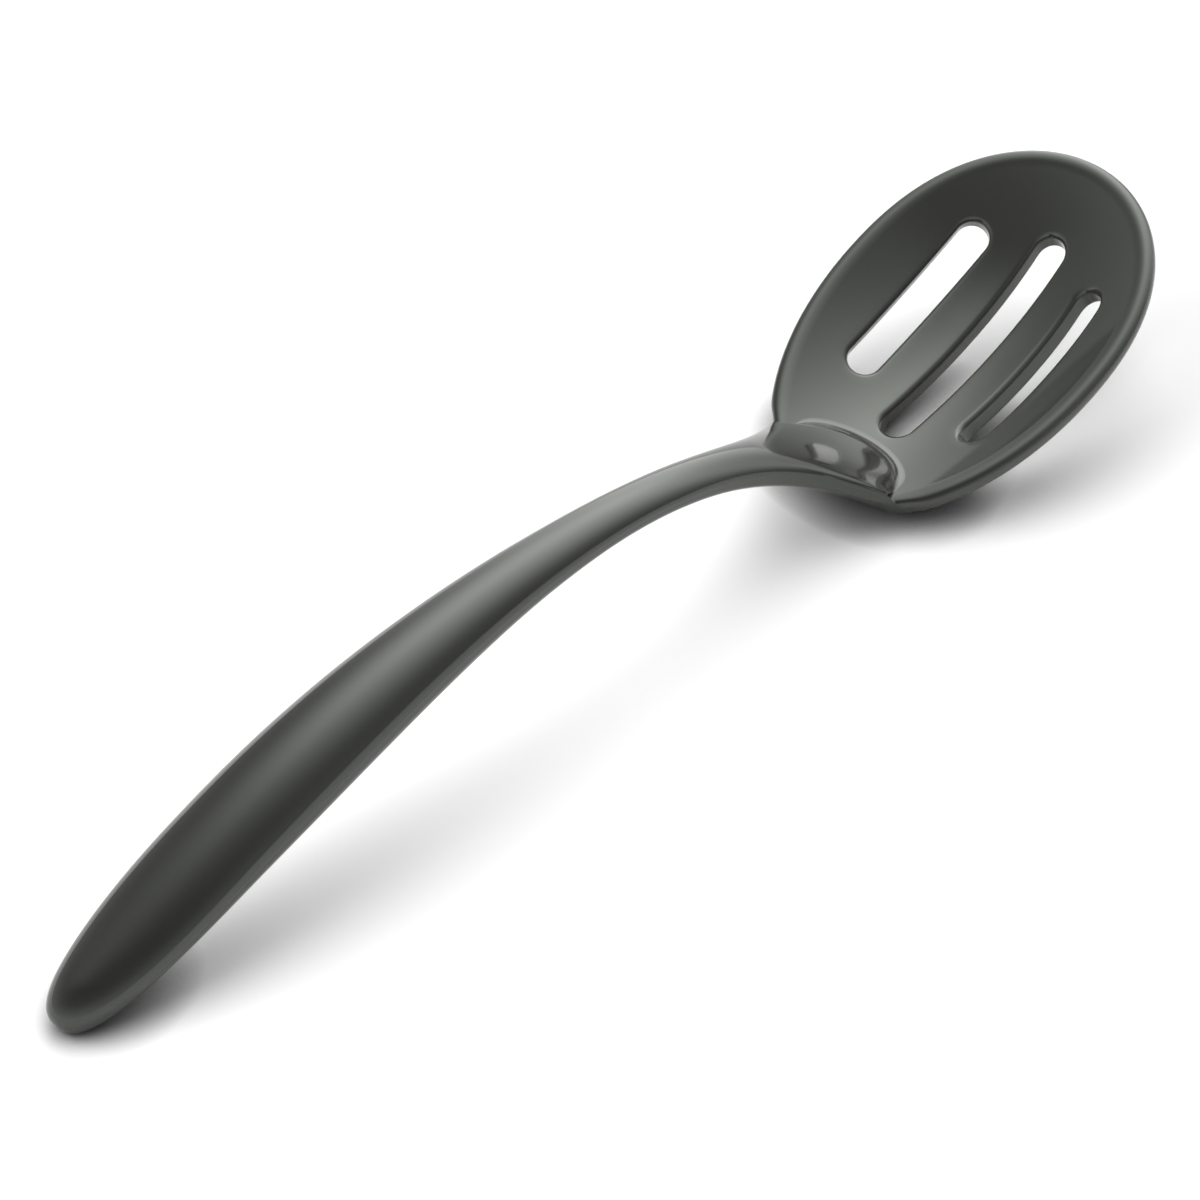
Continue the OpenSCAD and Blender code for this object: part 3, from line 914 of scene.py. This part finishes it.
def baked_enamel(name, peel_height_mm):
    """Glossy dark enamel: colour and gloss drift a little, and orange peel makes its highlights uneven."""
    material, tree, output = new_material(name)
    place = add_node(tree, "ShaderNodeTexCoord", {}, {}).outputs["Object"]
    drift = add_node(tree, "ShaderNodeTexNoise", {},
                     {"Vector": place, "Scale": 1 / (drift_mm * MM), "Detail": 3.0}).outputs["Fac"]
    along = add_node(tree, "ShaderNodeSeparateXYZ", {}, {"Vector": place}).outputs["X"]
    # Painted light: the colour is lifted from the handle's to the bowl's lighter shade along the spoon.
    painted_lift = add_node(tree, "ShaderNodeMapRange", {"interpolation_type": "SMOOTHSTEP"},
                    {"Value": along, "From Min": bowl_lift_starts * MM, "From Max": bowl_lift_full * MM})
    handle = add_node(tree, "ShaderNodeMix", {"data_type": "RGBA"},
                      {"Factor": drift, "A": linear("#2C2C2A"), "B": linear("#30302E")})
    bowl = add_node(tree, "ShaderNodeMix", {"data_type": "RGBA"},
                    {"Factor": drift, "A": linear("#3B3C39"), "B": linear("#3F403D")})
    colour = add_node(tree, "ShaderNodeMix", {"data_type": "RGBA"},
                      {"Factor": painted_lift.outputs["Result"], "A": handle.outputs["Result"],
                       "B": bowl.outputs["Result"]})
    gloss = add_node(tree, "ShaderNodeMapRange", {},
                     {"Value": drift, "To Min": gloss_best, "To Max": gloss_worst})
    peel = add_node(tree, "ShaderNodeTexNoise", {},
                    {"Vector": place, "Scale": 1 / (peel_mm * MM), "Detail": 1.0})
    bump = add_node(tree, "ShaderNodeBump", {},
                    {"Height": peel.outputs["Fac"], "Distance": peel_height_mm * MM, "Strength": 1.0})
    shader = add_node(tree, "ShaderNodeBsdfPrincipled", {},
                      {"Base Color": colour.outputs["Result"], "Roughness": gloss.outputs["Result"],
                       "IOR": enamel_ior, "Specular Tint": linear("#F7FFF6"),
                       "Normal": bump.outputs["Normal"]})
    tree.links.new(shader.outputs["BSDF"], output.inputs["Surface"])
    return material


enamel = baked_enamel("baked_enamel_dark_grey", peel_height_mm=0.004)
weld_enamel = baked_enamel("baked_enamel_over_weld", peel_height_mm=0.006)
for piece in (slotted_bowl, top_shell, bottom_shell):
    piece.data.materials.append(enamel)
for piece in (seam_weld, lip_weld, nose_weld):
    piece.data.materials.append(weld_enamel)
print("materials:", enamel.name, "and", weld_enamel.name)

# %% [markdown]
# The stage is a matt white table. Its colour gives the white background. Where the spoon all but touches the
# table, the photograph's shadow is nearly black, darker than soft lamps make it, so the table's colour falls
# off within a few millimetres of the spoon. The Ambient Occlusion node measures how close it is.

# %% The table
table_half = 1.5
table_gap_mm = 0.02
shade_reach_mm = 8.0
shade_depth = 1.2

table_mesh = bpy.data.meshes.new("table")
corners = [(x, y, 0) for x, y in ((-1, -1), (1, -1), (1, 1), (-1, 1))]
table_mesh.from_pydata([Vector(c) * table_half for c in corners], [], [(0, 1, 2, 3)])
table = bpy.data.objects.new("table", table_mesh)
bpy.context.scene.collection.objects.link(table)
table.location.z = cad_box[0].z - table_gap_mm * MM
table_paint, tree, output = new_material("matt_white_paint_and_painted_shadow")
# Painted shadow: near the spoon the table's colour darkens towards #101010, as the Ambient Occlusion node
# finds the spoon close.
gap = add_node(tree, "ShaderNodeAmbientOcclusion", {"samples": 4}, {"Distance": shade_reach_mm * MM})
shade = add_node(tree, "ShaderNodeMath", {"operation": "POWER"}, {0: gap.outputs["AO"], 1: shade_depth})
colour = add_node(tree, "ShaderNodeMix", {"data_type": "RGBA"},
                  {"Factor": shade.outputs["Value"], "A": linear("#101010"), "B": linear("#D8D8D8")})
paint = add_node(tree, "ShaderNodeBsdfDiffuse", {}, {"Color": colour.outputs["Result"]})
tree.links.new(paint.outputs["BSDF"], output.inputs["Surface"])
table_mesh.materials.append(table_paint)
print("the table lies at z =", round(table.location.z / MM, 3), "mm")

# %% [markdown]
# Photographers often light the table apart from the object. Here a wide lamp, behind the tail and on its
# left, lifts the table to white and throws the shadow forward and to the right. Light linking keeps the lamp
# off the spoon, so the coat mirrors only the studio and the table.

# %% A lamp for the table alone
table_lamp_from = Vector((-0.70, 0.50, 0.50))
table_lamp_away = 1.0
table_lamp_size = 1.2
table_lamp_watts = 16.0

lamp_data = bpy.data.lights.new("table_lamp", "AREA")
lamp_data.shape = "DISK"
lamp_data.size = table_lamp_size
lamp_data.energy = table_lamp_watts
table_lamp = bpy.data.objects.new("table_lamp", lamp_data)
table_lamp.location = table_lamp_from.normalized() * table_lamp_away
table_lamp.rotation_euler = table_lamp_from.to_track_quat("Z", "Y").to_euler()
bpy.context.scene.collection.objects.link(table_lamp)
lit = bpy.data.collections.new("lit_by_table_lamp")
lit.objects.link(table)
table_lamp.light_linking.receiver_collection = lit

# %% [markdown]
# The coat mirrors the studio: a dim room with one big soft box high up beyond the bowl, and walls that are
# paler behind the tail. A soft box could be an area lamp, but drawn in the world its edges fade as gently as
# the reflections in the photograph do. Each edge is a smooth step along a direction, from dark to bright, and
# the four steps are multiplied.

# %% The soft box
box_turn = np.radians(76.2)
box_side = Vector((np.cos(box_turn), -np.sin(box_turn), 0))
box_fore = Vector((np.sin(box_turn), np.cos(box_turn), 0))
box_level = 5.6
# Each edge has a direction, and how far a ray leans towards it where the box is dark and where it is bright.
BOX_EDGES = {"left": (box_side, -0.957, -0.185), "right": (box_side, 1.137, -0.663),
             "near": (box_fore, -0.513, 0.603), "far": (box_fore, 1.099, 0.752)}

world = bpy.data.worlds.new("studio")
bpy.context.scene.world = world
world.use_nodes = True
tree = world.node_tree
way = add_node(tree, "ShaderNodeTexCoord", {}, {}).outputs["Generated"]
soft_box = box_level
for axis, dark, bright in BOX_EDGES.values():
    lean = add_node(tree, "ShaderNodeVectorMath", {"operation": "DOT_PRODUCT"}, {0: way, 1: axis})
    edge = add_node(tree, "ShaderNodeMapRange", {"interpolation_type": "SMOOTHSTEP"},
                    {"Value": lean.outputs["Value"], "From Min": dark, "From Max": bright})
    soft_box = add_node(tree, "ShaderNodeMath", {"operation": "MULTIPLY"},
                        {0: soft_box, 1: edge.outputs["Result"]}).outputs["Value"]
print("the soft box has", len(BOX_EDGES), "edges")

# %% The walls of the room
room_level = 0.02
wall_level = 0.51
wall_height = 0.91
pale_side = Vector((-1.5, -0.12, 0.0))

height = add_node(tree, "ShaderNodeSeparateXYZ", {}, {"Vector": way}).outputs["Z"]
wall = add_node(tree, "ShaderNodeMapRange", {"interpolation_type": "SMOOTHSTEP"},
                {"Value": height, "From Min": wall_height, "From Max": 0.0, "To Max": wall_level})
lean = add_node(tree, "ShaderNodeVectorMath", {"operation": "DOT_PRODUCT"}, {0: way, 1: pale_side})
paler = add_node(tree, "ShaderNodeMath", {"operation": "ADD"}, {0: lean.outputs["Value"], 1: 1.0})
bounded = add_node(tree, "ShaderNodeMath", {"operation": "MAXIMUM"}, {0: paler.outputs["Value"], 1: 0.0})
room = add_node(tree, "ShaderNodeMath", {"operation": "MULTIPLY_ADD"},
                {0: wall.outputs["Result"], 1: bounded.outputs["Value"], 2: room_level})
light = add_node(tree, "ShaderNodeMath", {"operation": "ADD"}, {0: room.outputs["Value"], 1: soft_box})
background = tree.nodes["Background"]
background.inputs["Color"].default_value = linear("#FFFFFF")
tree.links.new(light.outputs["Value"], background.inputs["Strength"])
print("the world has", len(tree.nodes), "nodes")

# %% [markdown]
# The camera stands above the tail's right side, far back, with a long lens, so the spoon is seen almost
# without perspective. Azimuth, elevation and roll were found by laying the model's outline over the
# photograph's.

# %% The camera
view_azimuth = np.radians(43.3712)
view_elevation = np.radians(44.0713)
view_roll = np.radians(-1.5089)
view_distance = 855.09 * MM
view_aim = Vector((-3.0 * MM, 0, 12.7 * MM))
lens_mm = 144.87
sensor_mm = 36.0

camera_data = bpy.data.cameras.new("camera")
camera_data.lens = lens_mm
camera_data.sensor_width = sensor_mm
camera = bpy.data.objects.new("camera", camera_data)
bpy.context.scene.collection.objects.link(camera)
backward = Vector((-np.sin(view_azimuth) * np.cos(view_elevation),
                   -np.cos(view_azimuth) * np.cos(view_elevation), np.sin(view_elevation)))
level = Vector((0, 0, 1)).cross(backward).normalized()
upright = backward.cross(level)
right = level * np.cos(view_roll) + upright * np.sin(view_roll)
upward = upright * np.cos(view_roll) - level * np.sin(view_roll)
turned = Matrix((right, upward, backward)).transposed().to_4x4()
camera.matrix_world = Matrix.Translation(view_aim + backward * view_distance) @ turned
bpy.context.scene.camera = camera
bpy.context.scene.view_settings.view_transform = "Standard"
print("the camera stands at", [round(c, 3) for c in camera.matrix_world.translation], "m")
